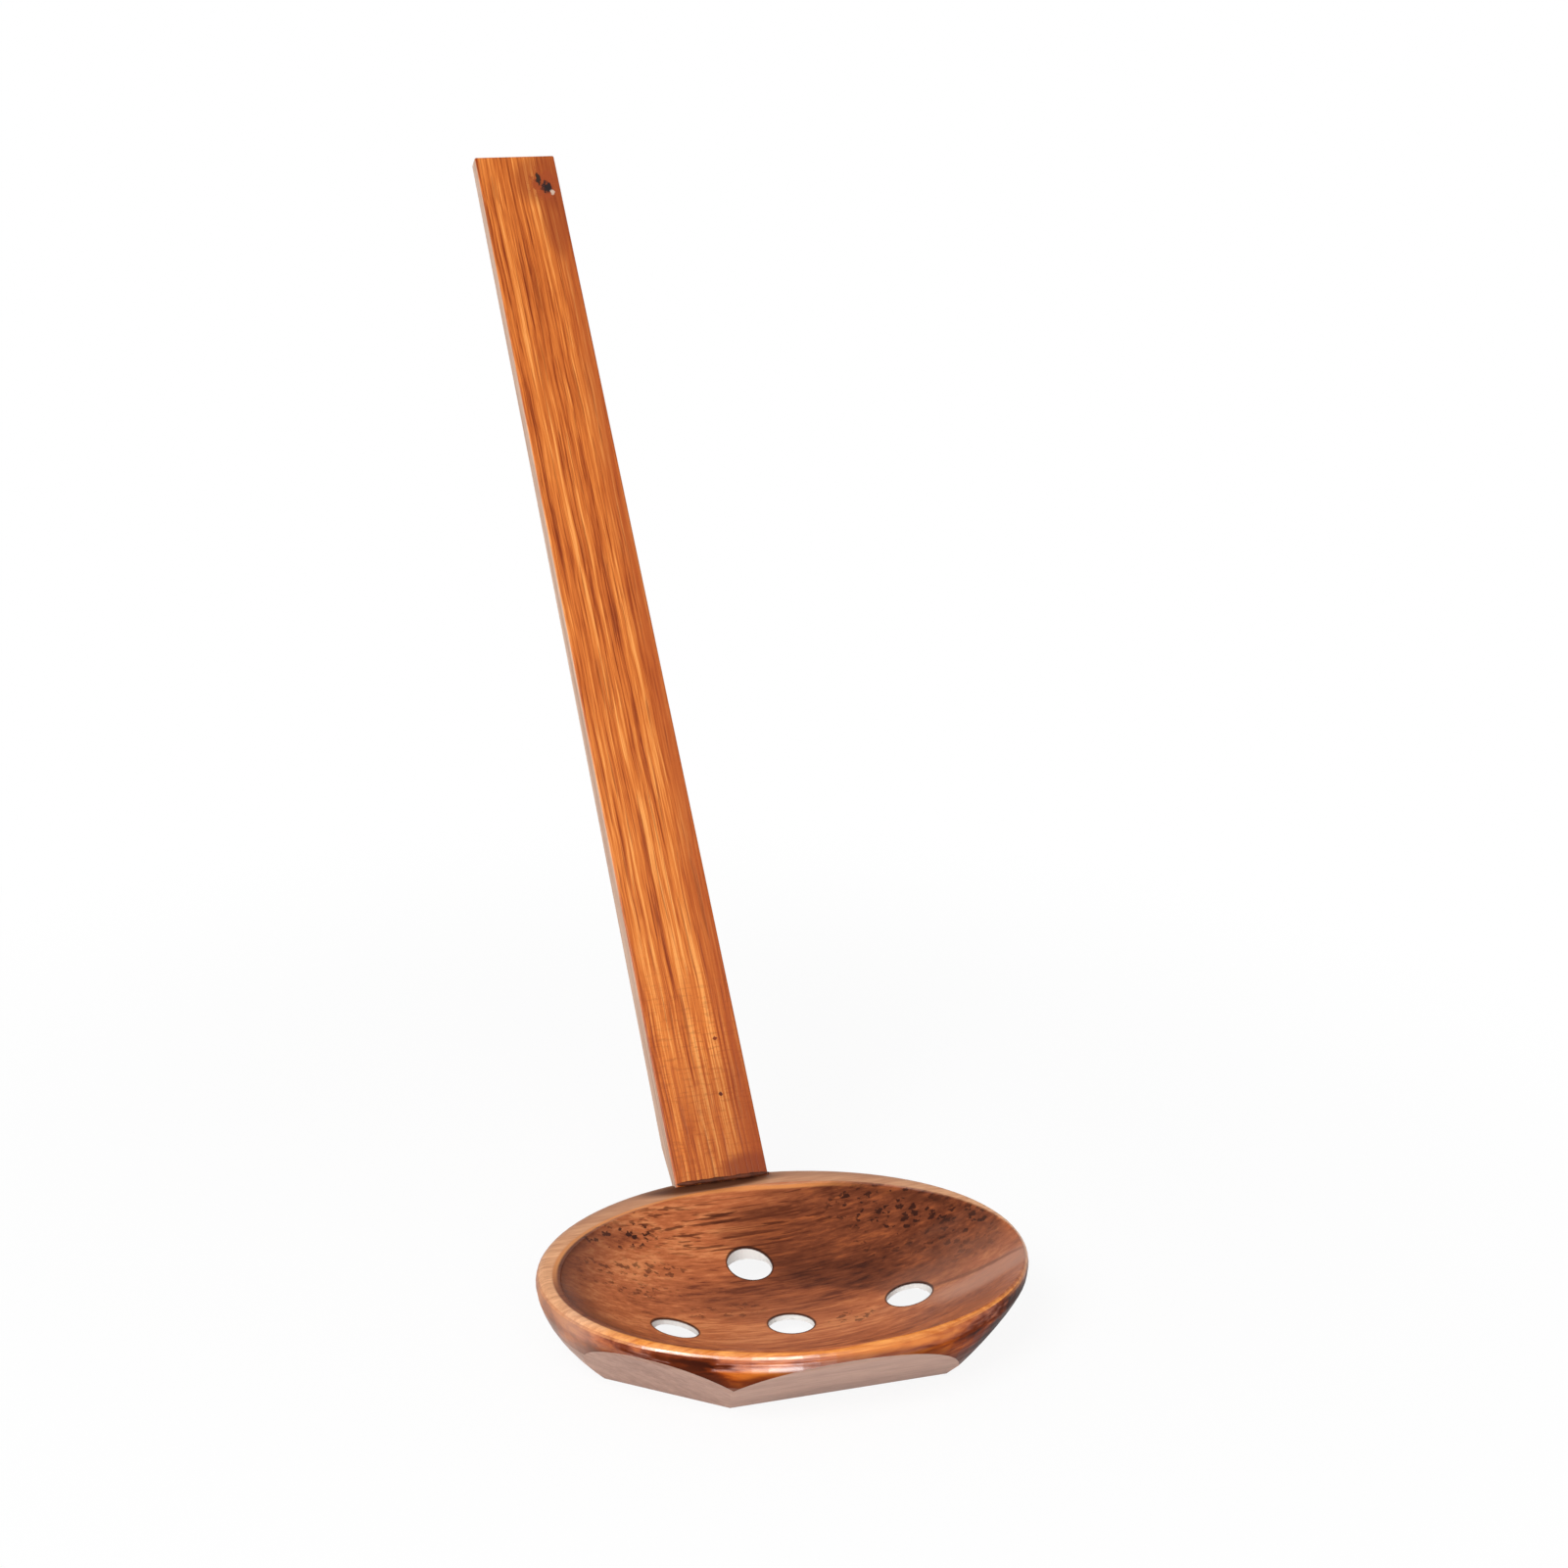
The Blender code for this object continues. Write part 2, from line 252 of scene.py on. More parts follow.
# Bowl: top of the rim, where the surface is level and beyond the inside's edge
RIM_RIGHT_LIFT = (22.0, 36.0, 0.0, 0.22)
RIM_LEVEL = (0.5, 0.72)
RIM_START = (0.995, 1.006)
RIM_STREAK_SHARE = 0.5
RIM_FIBRE_SHARE = 0.5
RIM_GRAIN = [(0.38, (202, 138, 96)), (0.62, (242, 184, 138))]
FRONT_RIM = (-8.0, -24.0)
FRONT_RIM_GRAIN = [(0.38, (206, 112, 42)), (0.62, (250, 166, 80))]
REAR_RIM = (12.0, 30.0)
REAR_RIM_PAINT = (0.5, (178, 124, 96))
VERGE_OUTWARD = (1.03, 1.12)
VERGE_BACKWARD = (4.0, 18.0)
VERGE_PAINT = (0.35, (126, 88, 72))
# A dark patch on the rim just in front of the handle's foot
SEAT_DARK_PATCH = ((-2, 33.7), (12, 2.4), 2, 0.8, 0.6)
SEAT_DARK_PATCH_PAINT = (0.9, (62, 25, 12))

# Bowl: sanded facets and underside, by their tilt, paler in part as a painted reflection of the white
# floor
SANDED_RIGHT_LIFT = (0.0, 24.0, 0.0, 0.14)
SANDED_TILT = (-0.40, -0.52)
SANDED_AND_FLOOR_REFLECTION_GRAIN = [(0.38, (158, 120, 104)), (0.60, (192, 154, 136))]

# Drain holes: edge and wall are over shares of the radius, the depth is from the hollow's surface
# Painted shade on the holes' edges
HOLE_EDGE_SHADE = (1.10, 1.02)
HOLE_EDGE_SHADE_PAINT = (0.85, (48, 25, 17))
# Walls painted near white, painted light standing for the bright floor seen through the holes
HOLE_WALL = (1.02, 1.01)
HOLE_WALL_STEEP = (0.5, 0.3)
HOLE_WALL_DEPTH = (0.15, 0.45)
HOLE_WALL_PAINT = (1.0, (254, 252, 248))

# Bowl: gloss, with a coat on the front lip and on the sheen, and a swell that rounds the outer wall
BOWL_ROUGHNESS = (0.2, 0.24)
BOWL_SPECULAR = 0.05
LIP_HEIGHT = (10.6, 11.4)
LIP_FORWARD = (-4.0, -12.0)
LIP_STREAKS = (0.2, 0.5)
LIP_MOTTLE = (0.26, 0.38)
SHEEN_COAT = 0.25
COAT_ROUGHNESS = 0.26
SWELL_HEIGHT = (12.7, 10.0)
SWELL_STEEP = (0.7, 0.5)
COAT_RELIEF = (1.0, 0.0015)
SWELL_RELIEF = (1.0, 0.0008)
BOWL_RELIEF = (0.22, 0.0002)
FIBRE_RELIEF_SHARE = 0.35

# Handle: figure of the wood
HANDLE_WAVER = ((0.1, 0.1, 0.02), (2.0, 5.0, 0.0), 2.0, 0.55, 0.0)
HANDLE_WOBBLE = 1.4
HANDLE_PUSH = (0.04, 0.5)
HANDLE_BANDS = ((0.34, 0.34, 0.007), (2.0, 0.0, 0.3), 2.0, 0.55, 0.0)
HANDLE_STREAKS = ((1.2, 1.2, 0.014), (0.0, 3.0, 1.0), 4.0, 0.6, 0.0)
HANDLE_FIBRES = ((2.6, 2.6, 0.065), (6.0, 3.0, 4.0), 3.0, 0.65, 0.0)
HANDLE_BAND_SHARE = 0.24
HANDLE_STREAK_SHARE = 0.42
HANDLE_FIBRE_SHARE = 0.34
HANDLE_GRAIN = [
    (0.40, (134, 52, 13)),
    (0.46, (188, 93, 34)),
    (0.53, (219, 124, 52)),
    (0.60, (244, 163, 86)),
]
HANDLE_FLECKS = ((1.9, 1.9, 0.045), (4.0, 1.0, 7.0), 3.0, 0.55, 0.0)
FLECK_VALUES = (0.57, 0.66)
FLECK_PAINT = (0.5, (124, 50, 14))
HANDLE_RIPPLE = ((0.35, 0.35, 1.5), (4.0, 4.0, 2.0), 3.0, 0.6, 0.0)
RIPPLE_VALUES = (0.48, 0.66)
RIPPLE_DOWNWARD = (50.0, 26.0)
RIPPLE_PAINT = (0.35, (150, 66, 26))
SIDEWAYS = (0.6, 0.9)
HANDLE_SIDE_GRAIN = [(0.4, (186, 142, 116)), (0.6, (222, 188, 164))]

# Handle: stains as middle, radii, strength. Knot marks as middle, radii, colour: the knot near the end,
# whose small hole is shown by dark marks of painted shade and a painted pale spot for the backdrop seen
# through it, then two dark specks low down.
RED_EDGE = (3.4, 8.0)
RED_EDGE_PAINT = (0.7, (170, 78, 32))
HANDLE_STAINS = [
    ((4.8, 213.5), (5.0, 6.0), 0.5),
    ((6.6, 203.5), (2.6, 7.0), 0.5),
    ((3.5, 11.0), (7.5, 15.0), 0.28),
    ((5.2, 1.8), (5.0, 2.8), 0.8),
]
HANDLE_STAIN_SOFTNESS = 0.7
HANDLE_STAIN_COLOUR = (138, 58, 26)
KNOT_AND_HOLE_SHADE_MARKS = [
    ((5.8, 212.4), (2.6, 3.2), (160, 72, 34)),
    ((6.4, 211.6), (1.1, 1.3), (38, 26, 26)),
    ((4.9, 213.6), (0.5, 1.4), (52, 34, 24)),
    ((7.3, 210.3), (0.4, 0.6), (204, 176, 156)),
    ((3.1, 16.1), (0.38, 0.38), (92, 34, 14)),
    ((4.2, 26.8), (0.4, 0.3), (126, 50, 20)),
]
KNOT_RAGGED = ((1.1, 1.1, 0.7), (1.0, 2.0, 8.0), 4.0, 0.7, 0.0)
KNOT_FRAY = 3.0
KNOT_SOFTNESS = 0.6

# Handle and glue: gloss, and the glue's lumps
HANDLE_ROUGHNESS = (0.2, 0.3)
HANDLE_SPECULAR = 0.12
HANDLE_RELIEF = (0.2, 0.00015)
GLUE_LUMPS = ((0.7, 0.7, 0.7), (0.0, 0.0, 0.0), 3.0, 0.55, 0.0)
GLUE_GRAIN = [(0.35, (62, 28, 14)), (0.65, (104, 50, 26))]
GLUE_ROUGHNESS = (0.3, 0.5)
GLUE_SPECULAR = 0.15
GLUE_RELIEF = (0.4, 0.0003)

bowl_low, bowl_high = (Vector(corner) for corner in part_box("bowl"))
bowl_centre = Vector(((bowl_low.x + bowl_high.x) / 2, bowl_low.y + RIM_FRONT, 0.0))
seat = bowl_centre + Vector((0.0, SEAT_BEHIND, BOWL_HEIGHT))


def linear(red, green, blue):
    """Scene colour of a screen colour given from 0 to 255."""
    values = []
    for channel in (red, green, blue):
        part = channel / 255
        values.append(part / 12.92 if part <= 0.04045 else ((part + 0.055) / 1.055) ** 2.4)
    return (*values, 1.0)


def facet_plane(corner, after, slant):
    """Outward direction of the facet that rises from one edge of the foot, and how far out it lies."""
    edge = Vector(after) - Vector(corner)
    outward = Vector((edge.y, -edge.x, 0.0)).normalized()
    outward.z = -slant
    outward.normalize()
    return tuple(outward), outward.dot(Vector(corner))


class Shader:
    """Short calls for building one node material."""

    def __init__(self, name):
        self.material = bpy.data.materials.new(name)
        self.material.use_nodes = True
        self.tree = self.material.node_tree
        self.main = self.tree.nodes["Principled BSDF"]

    def node(self, kind, **settings):
        node = self.tree.nodes.new(kind)
        for key, value in settings.items():
            setattr(node, key, value)
        return node

    def feed(self, socket, value):
        """Links a value into a socket, or sets it there when it is constant."""
        if isinstance(value, bpy.types.NodeSocket):
            self.tree.links.new(value, socket)
        elif value is not None:
            socket.default_value = value

    def give(self, name, value):
        """Feeds one input of the main shader."""
        self.feed(self.main.inputs[name], value)

    def compute(self, operation, *values):
        node = self.node("ShaderNodeMath", operation=operation)
        for socket, value in zip(node.inputs, values):
            self.feed(socket, value)
        return node.outputs[0]

    def compute_vector(self, operation, *values, output="Vector"):
        node = self.node("ShaderNodeVectorMath", operation=operation)
        for socket, value in zip(node.inputs, values):
            self.feed(socket, value)
        return node.outputs[output]

    def join(self, operation, values):
        """One value from many, joined pair by pair."""
        total, *others = values
        for value in others:
            total = self.compute(operation, total, value)
        return total

    def times(self, *values):
        return self.join("MULTIPLY", values)

    def plus(self, *values):
        return self.join("ADD", values)

    def most(self, *values):
        return self.join("MAXIMUM", values)

    def less(self, first, second):
        return self.compute("SUBTRACT", first, second)

    def blend(self, *parts):
        """Sum of values, each times its share."""
        return self.plus(*[self.times(value, share) for value, share in parts])

    def swing(self, noise, gain):
        """Noise about zero."""
        return self.times(self.less(noise, NOISE_MIDDLE), gain)

    def fade(self, value, start, end, low=0.0, high=1.0):
        """Smooth step from low at the start to high at the end."""
        node = self.node("ShaderNodeMapRange", interpolation_type="SMOOTHSTEP")
        for socket, item in zip(node.inputs, (value, start, end, low, high)):
            self.feed(socket, item)
        return node.outputs[0]

    def split(self, vector):
        node = self.node("ShaderNodeSeparateXYZ")
        self.feed(node.inputs[0], vector)
        return node.outputs

    def facing(self):
        """The surface's direction, axis by axis."""
        return self.split(self.node("ShaderNodeNewGeometry").outputs["Normal"])

    def mapping(self, vector, location=None, rotation=None, scale=None, kind="POINT"):
        node = self.node("ShaderNodeMapping", vector_type=kind)
        inputs = {"Vector": vector, "Location": location, "Rotation": rotation, "Scale": scale}
        for name, value in inputs.items():
            self.feed(node.inputs[name], value)
        return node.outputs[0]

    def place(self, origin, turn=(0.0, 0.0, 0.0)):
        """Object coordinates about a point, in millimetres, turned to a piece's own axes."""
        coordinates = self.node("ShaderNodeTexCoord").outputs["Object"]
        moved = self.compute_vector("SUBTRACT", coordinates, tuple(origin))
        return self.mapping(moved, rotation=turn, scale=(MILLIMETRES,) * 3)

    def noise(self, vector, size, shift, detail, roughness, twist):
        node = self.node("ShaderNodeTexNoise")
        inputs = {
            "Vector": self.mapping(vector, location=shift, scale=size),
            "Scale": 1.0,
            "Detail": detail,
            "Roughness": roughness,
            "Distortion": twist,
        }
        for name, value in inputs.items():
            self.feed(node.inputs[name], value)
        return node.outputs["Fac"]

    def push(self, vector, scale, amount):
        """Coordinates pushed about by noise, for ragged outlines."""
        node = self.node("ShaderNodeTexNoise")
        self.feed(node.inputs["Vector"], vector)
        node.inputs["Scale"].default_value = scale
        node.inputs["Detail"].default_value = PUSH_DETAIL
        centred = self.compute_vector("SUBTRACT", node.outputs["Color"], (NOISE_MIDDLE,) * 3)
        return self.compute_vector("MULTIPLY_ADD", centred, (2.0 * amount,) * 3, vector)

    def ramp(self, value, stops):
        """Colour by value, from stops of a value and a screen colour."""
        node = self.node("ShaderNodeValToRGB")
        elements = node.color_ramp.elements
        while len(elements) < len(stops):
            elements.new(0.5)
        for element, (position, colour) in zip(elements, stops):
            element.position = position
            element.color = linear(*colour)
        self.feed(node.inputs[0], value)
        return node.outputs["Color"]

    def mix(self, amount, first, second):
        node = self.node("ShaderNodeMix", data_type="RGBA")
        self.feed(node.inputs["Factor"], amount)
        colours = [socket for socket in node.inputs if socket.type == "RGBA"]
        self.feed(colours[0], first)
        self.feed(colours[1], second)
        return [socket for socket in node.outputs if socket.type == "RGBA"][0]

    def paint(self, colour, mask, share, tint):
        """A colour with a share of a screen colour laid over it inside a mask."""
        return self.mix(self.times(mask, share), colour, linear(*tint))

    def oval(self, vector, centre, radii, turn=0.0, upright=False):
        """Distance from an oval's middle, 1 on its edge, seen from above or, upright, from the front."""
        hidden_axis = 1 if upright else 2
        location = list(centre)
        location.insert(hidden_axis, 0.0)
        scale = list(radii)
        scale.insert(hidden_axis, FAR)
        rotation = (0.0, 0.0, math.radians(turn))
        scaled = self.mapping(vector, location, rotation, scale, "TEXTURE")
        return self.compute_vector("LENGTH", scaled, output="Value")

    def patch(self, vector, oval, wobble, softness, upright=False):
        """Oval patch with a wavering soft edge."""
        distance = self.plus(self.oval(vector, *oval, upright=upright), wobble)
        return self.fade(distance, 1.0 + softness / 2, 1.0 - softness / 2)

    def spots(self, vector):
        """Separate lens-shaped dots, some of them left out."""
        node = self.node("ShaderNodeTexVoronoi")
        pushed = self.push(vector, *PORE_PUSH)
        self.feed(node.inputs["Vector"], self.mapping(pushed, scale=PORE_CELLS))
        node.inputs["Scale"].default_value = 1.0
        chance, growth, _ = self.split(node.outputs["Color"])
        edge = self.less(node.outputs["Distance"], self.times(growth, PORE_GROWTH))
        dot = self.fade(edge, PORE_REACH + PORE_SOFTNESS, PORE_REACH - PORE_SOFTNESS)
        return self.times(dot, self.fade(chance, *PORE_CHANCE))

    def near_plane(self, vector, outward, distance):
        """How near a point is to a facet's plane, from 0 at the border's width to 1 on it."""
        along = self.compute_vector("DOT_PRODUCT", vector, outward, output="Value")
        return self.fade(along, distance - FACET_BORDER, distance - FACET_SLACK)

    def bump(self, height, strength, distance, over=None):
        """Relief, over another relief where one is given."""
        node = self.node("ShaderNodeBump")
        inputs = {"Strength": strength, "Distance": distance, "Height": height, "Normal": over}
        for name, value in inputs.items():
            self.feed(node.inputs[name], value)
        return node.outputs[0]


class BowlWood(Shader):
    """Dark wood of the bowl."""

    def __init__(self):
        super().__init__("dark_wood")
        self.where = self.place(bowl_centre)
        self.across, self.deep, self.height = self.split(self.where)
        self.upward = self.facing()[2]
        self.wobble = self.swing(self.noise(self.where, *BOWL_WAVER), BOWL_WOBBLE)
        bands = self.noise(self.where, *BOWL_BANDS)
        self.streaks = self.noise(self.where, *BOWL_STREAKS)
        self.fibres = self.noise(self.where, *BOWL_FIBRES)
        self.figure = self.blend(
            (bands, BAND_SHARE),
            (self.streaks, STREAK_SHARE),
            (self.fibres, FIBRE_SHARE),
        )
        self.carved = self.oval(self.where, *HOLLOW_EDGE)
        self.inside = self.inside_distance()
        self.outside = self.outside_mask()
        self.on_rim = self.rim_mask()
        self.pores = self.pore_mask()
        self.mottle = self.wall_mottle()
        self.sheen = self.area(*SHEEN)
        colour = self.ground()
        for layer in (
            self.grain_marks,
            self.hollow,
            self.edge,
            self.outer_wall,
            self.rim,
            self.left_end,
            self.sanded,
            self.holes,
        ):
            colour = layer(colour)
        self.give("Base Color", colour)
        self.gloss()

    def area(self, centre, radii, turn, softness, waver):
        """Soft oval on the bowl, its edge wavering by a share of the wobble."""
        return self.patch(self.where, (centre, radii, turn), self.times(self.wobble, waver), softness)

    def inside_distance(self):
        """Distance from the inside's middle, 1 at its edge: painted at the left, carved at the right."""
        painted = self.oval(self.where, *PAINTED_EDGE)
        rightward = self.plus(self.across, self.times(self.deep, CARVED_SLANT))
        share = self.fade(rightward, *CARVED_RIGHTWARD)
        return self.compute("MULTIPLY_ADD", self.less(self.carved, painted), share, painted)

    def outside_mask(self):
        return self.most(self.fade(self.inside, *BEYOND_EDGE), self.fade(self.upward, *TURNED_DOWN))

    def rim_mask(self):
        level = self.plus(self.upward, self.fade(self.across, *RIM_RIGHT_LIFT))
        return self.times(self.fade(level, *RIM_LEVEL), self.fade(self.inside, *RIM_START))

    def pore_mask(self):
        patches = []
        for *oval, strength in PORE_PATCHES:
            patch = self.patch(self.where, oval, self.wobble, PORE_PATCH_SOFTNESS)
            patches.append(self.times(patch, strength))
        return self.times(self.spots(self.where), self.most(*patches))

    def wall_mottle(self):
        """Cloudy light and dark of the outer wall, with painted shade low down."""
        clouds = self.noise(self.where, *BOWL_MOTTLE)
        # Painted shade low down
        low = self.times(self.fade(self.height, *LOW_WALL), LOW_WALL_SHADE)
        right = self.times(
            self.fade(self.across, *RIGHT_WALL),
            self.fade(self.height, *RIGHT_WALL_DARKNESS),
        )
        strip = self.times(
            self.fade(self.across, *LEFT_STRIP_START),
            self.fade(self.across, *LEFT_STRIP_STOP),
            LEFT_STRIP_DARKNESS,
        )
        return self.plus(clouds, low, right, strip)

    def ground(self):
        """Light wood with a dark heart at the back right."""
        backward = self.plus(self.deep, self.times(self.across, HEART_SLANT))
        heart = self.times(self.area(*HEART), self.fade(backward, *HEART_FRONT))
        middle = self.times(self.area(*DARK_MIDDLE), DARK_MIDDLE_SHARE)
        light_wood = self.ramp(self.figure, LIGHT_GRAIN)
        dark_wood = self.ramp(self.figure, DARK_GRAIN)
        return self.mix(self.most(heart, middle), light_wood, dark_wood)

    def grain_marks(self, colour):
        """Dark lines and open cracks along the grain at the back, and the pores."""
        lines = self.fade(self.noise(self.where, *BOWL_LINES), *LINE_VALUES)
        colour = self.paint(colour, self.times(lines, self.area(*LINED)), *LINE_PAINT)
        frayed = self.swing(self.fibres, CRACK_FRAY)
        for centre, half_length, turn in GRAIN_CRACKS:
            oval = (centre, (half_length, CRACK_HALF_WIDTH), turn)
            crack = self.patch(self.where, oval, frayed, CRACK_SOFTNESS)
            colour = self.paint(colour, crack, *CRACK_PAINT)
        return self.paint(colour, self.pores, *PORE_PAINT)

    def hollow(self, colour):
        """Painted shade on the left wall, and a painted sheen and gleam with a painted line of shade at
        the right.
        """
        shade = self.times(
            self.fade(self.inside, *SHADE_OUTWARD),
            self.fade(self.across, *SHADE_LEFTWARD),
        )
        colour = self.paint(colour, shade, *SHADE_PAINT)
        colour = self.paint(colour, self.sheen, *SHEEN_PAINT)
        colour = self.paint(colour, self.area(*GLEAM), *GLEAM_PAINT)
        return self.paint(colour, self.area(*SHADE_LINE), *SHADE_LINE_PAINT)

    def edge(self, colour):
        """Painted shade just inside the inside's edge, and a painted highlight along the edge."""
        edge_shade = self.times(self.fade(self.inside, *EDGE_SHADE_RISE), self.fade(self.inside, *EDGE_SHADE_FALL))
        back_right = self.times(
            self.fade(self.across, *EDGE_SHADE_RIGHTWARD),
            self.fade(self.deep, *EDGE_SHADE_BACKWARD),
        )
        left = self.fade(self.across, *EDGE_SHADE_LEFTWARD)
        colour = self.paint(colour, self.times(edge_shade, self.most(back_right, left)), *EDGE_SHADE_PAINT)
        edge_highlight = self.times(
            self.fade(self.inside, *EDGE_HIGHLIGHT_RISE),
            self.fade(self.inside, *EDGE_HIGHLIGHT_FALL),
            self.fade(self.deep, *EDGE_HIGHLIGHT_BACKWARD),
            self.fade(self.across, *EDGE_HIGHLIGHT_LEFTWARD),
        )
        return self.paint(colour, edge_highlight, *EDGE_HIGHLIGHT_PAINT)

    def outer_wall(self, colour):
        """Stained wood outside the hollow, with painted shade along the facets' borders."""
        value = self.blend((self.mottle, MOTTLE_SHARE), (self.streaks, WALL_STREAK_SHARE))
        wood = self.ramp(value, OUTER_GRAIN)
        for facet in FACETS:
            # Painted shade along each facet's border
            border = self.near_plane(self.where, *facet_plane(*facet))
            wood = self.paint(wood, border, *FACET_EDGE_SHADE_PAINT)
        return self.mix(self.outside, colour, wood)

    def rim(self, colour):
        """Paler colour on top of the rim, warmer in front, with a dark patch just in front of the
        handle's foot.
        """
        grain = self.blend((self.streaks, RIM_STREAK_SHARE), (self.fibres, RIM_FIBRE_SHARE))
        front = self.fade(self.deep, *FRONT_RIM)
        wood = self.mix(front, self.ramp(grain, RIM_GRAIN), self.ramp(grain, FRONT_RIM_GRAIN))
        wood = self.paint(wood, self.fade(self.deep, *REAR_RIM), *REAR_RIM_PAINT)
        verge = self.times(self.fade(self.inside, *VERGE_OUTWARD), self.fade(self.deep, *VERGE_BACKWARD))
        wood = self.paint(wood, verge, *VERGE_PAINT)
        colour = self.mix(self.on_rim, colour, wood)
        return self.paint(colour, self.area(*SEAT_DARK_PATCH), *SEAT_DARK_PATCH_PAINT)

    def left_end(self, colour):
        """A painted reflection of the white floor that makes the left end of the outer wall paler."""
        wall = self.most(self.less(self.outside, self.on_rim), 0.0)
        return self.paint(colour, self.times(self.fade(self.across, *LEFT_END), wall), *LEFT_END_REFLECTION_PAINT)

    def sanded(self, colour):
        """The sanded facets and underside, paler in part as a painted reflection of the white floor."""
        tilt = self.plus(self.upward, self.fade(self.across, *SANDED_RIGHT_LIFT))
        return self.mix(self.fade(tilt, *SANDED_TILT), colour, self.ramp(self.figure, SANDED_AND_FLOOR_REFLECTION_GRAIN))

    def holes(self, colour):
        """Painted shade on the drain holes' edges, and walls below them painted near white as painted
        light for the bright floor seen through.
        """
        surface = self.times(self.compute("POWER", self.carved, HOLLOW_POWER), HOLLOW_DEPTH)
        depth = self.less(self.plus(surface, HOLLOW_FLOOR), self.height)
        walls = self.times(self.fade(self.upward, *HOLE_WALL_STEEP), self.fade(depth, *HOLE_WALL_DEPTH))
        for hole in HOLES:
            distance = self.oval(self.where, hole, (HOLE_RADIUS, HOLE_RADIUS))
            colour = self.paint(colour, self.fade(distance, *HOLE_EDGE_SHADE), *HOLE_EDGE_SHADE_PAINT)
            wall = self.times(self.fade(distance, *HOLE_WALL), walls)
            colour = self.paint(colour, wall, *HOLE_WALL_PAINT)
        return colour

    def gloss(self):
        """A dull surface with relief, and a glossy coat on the front lip and the sheen."""
        self.give("Roughness", self.compute("MULTIPLY_ADD", self.streaks, *BOWL_ROUGHNESS))
        self.give("Specular IOR Level", BOWL_SPECULAR)
        lip = self.times(
            self.outside,
            self.fade(self.height, *LIP_HEIGHT),
            self.fade(self.deep, *LIP_FORWARD),
            self.fade(self.streaks, *LIP_STREAKS),
            self.fade(self.mottle, *LIP_MOTTLE),
        )
        self.give("Coat Weight", self.most(lip, self.times(self.sheen, SHEEN_COAT)))
        self.give("Coat Roughness", COAT_ROUGHNESS)
        swell = self.times(
            self.outside,
            self.fade(self.height, *SWELL_HEIGHT),
            self.fade(self.upward, *SWELL_STEEP),
        )
        self.give("Coat Normal", self.bump(swell, *COAT_RELIEF))
        rounded = self.bump(swell, *SWELL_RELIEF)
        fine = self.less(self.times(self.fibres, FIBRE_RELIEF_SHARE), self.pores)
        self.give("Normal", self.bump(fine, *BOWL_RELIEF, over=rounded))


class HandleWood(Shader):
    """Straight-grained wood of the handle."""

    def __init__(self):
        super().__init__("straight_grained_wood")
        self.where = self.place(seat, (HANDLE_LEAN, 0.0, 0.0))
        self.across, _, self.up = self.split(self.where)
        self.wobble = self.swing(self.noise(self.where, *HANDLE_WAVER), HANDLE_WOBBLE)
        grown = self.push(self.where, *HANDLE_PUSH)
        bands = self.noise(grown, *HANDLE_BANDS)
        streaks = self.noise(grown, *HANDLE_STREAKS)
        self.fibres = self.noise(grown, *HANDLE_FIBRES)
        self.figure = self.blend(
            (bands, HANDLE_BAND_SHARE),
            (streaks, HANDLE_STREAK_SHARE),
            (self.fibres, HANDLE_FIBRE_SHARE),
        )
        self.flecks = self.fade(self.noise(grown, *HANDLE_FLECKS), *FLECK_VALUES)
        self.marks = self.knot_and_hole_shade_masks()
        colour = self.ramp(self.figure, HANDLE_GRAIN)
        for layer in (self.stains, self.fine_grain, self.knot, self.sides):
            colour = layer(colour)
        self.give("Base Color", colour)
        self.gloss()

    def area(self, oval, wobble, softness):
        """Soft oval on the handle's front."""
        return self.patch(self.where, oval, wobble, softness, upright=True)

    def knot_and_hole_shade_masks(self):
        ragged = self.swing(self.noise(self.where, *KNOT_RAGGED), KNOT_FRAY)
        return [self.area((centre, radii), ragged, KNOT_SOFTNESS) for centre, radii, _ in KNOT_AND_HOLE_SHADE_MARKS]

    def stains(self, colour):
        """The redder right edge, and the stains near the knot and the joint."""
        red_edge = self.fade(self.plus(self.across, self.wobble), *RED_EDGE)
        colour = self.paint(colour, red_edge, *RED_EDGE_PAINT)
        for *oval, strength in HANDLE_STAINS:
            stain = self.area(oval, self.wobble, HANDLE_STAIN_SOFTNESS)
            colour = self.paint(colour, stain, strength, HANDLE_STAIN_COLOUR)
        return colour

    def fine_grain(self, colour):
        """Dark flecks along the grain, and a ripple across it low down."""
        colour = self.paint(colour, self.flecks, *FLECK_PAINT)
        ripple = self.fade(self.noise(self.where, *HANDLE_RIPPLE), *RIPPLE_VALUES)
        ripple = self.times(ripple, self.fade(self.up, *RIPPLE_DOWNWARD))
        return self.paint(colour, ripple, *RIPPLE_PAINT)

    # The knot, with painted shade and a painted pale spot for its small hole, and the specks
    def knot(self, colour):
        for mark, (_, _, tint) in zip(self.marks, KNOT_AND_HOLE_SHADE_MARKS):
            colour = self.mix(mark, colour, linear(*tint))
        return colour

    def sides(self, colour):
        """Pale wood on the two narrow sides."""
        sideways = self.compute("ABSOLUTE", self.facing()[0])
        pale = self.ramp(self.figure, HANDLE_SIDE_GRAIN)
        return self.mix(self.fade(sideways, *SIDEWAYS), colour, pale)

    def gloss(self):
        self.give("Roughness", self.compute("MULTIPLY_ADD", self.fibres, *HANDLE_ROUGHNESS))
        self.give("Specular IOR Level", HANDLE_SPECULAR)
        pits = self.plus(self.flecks, self.most(*self.marks))
        self.give("Normal", self.bump(self.less(self.fibres, pits), *HANDLE_RELIEF))


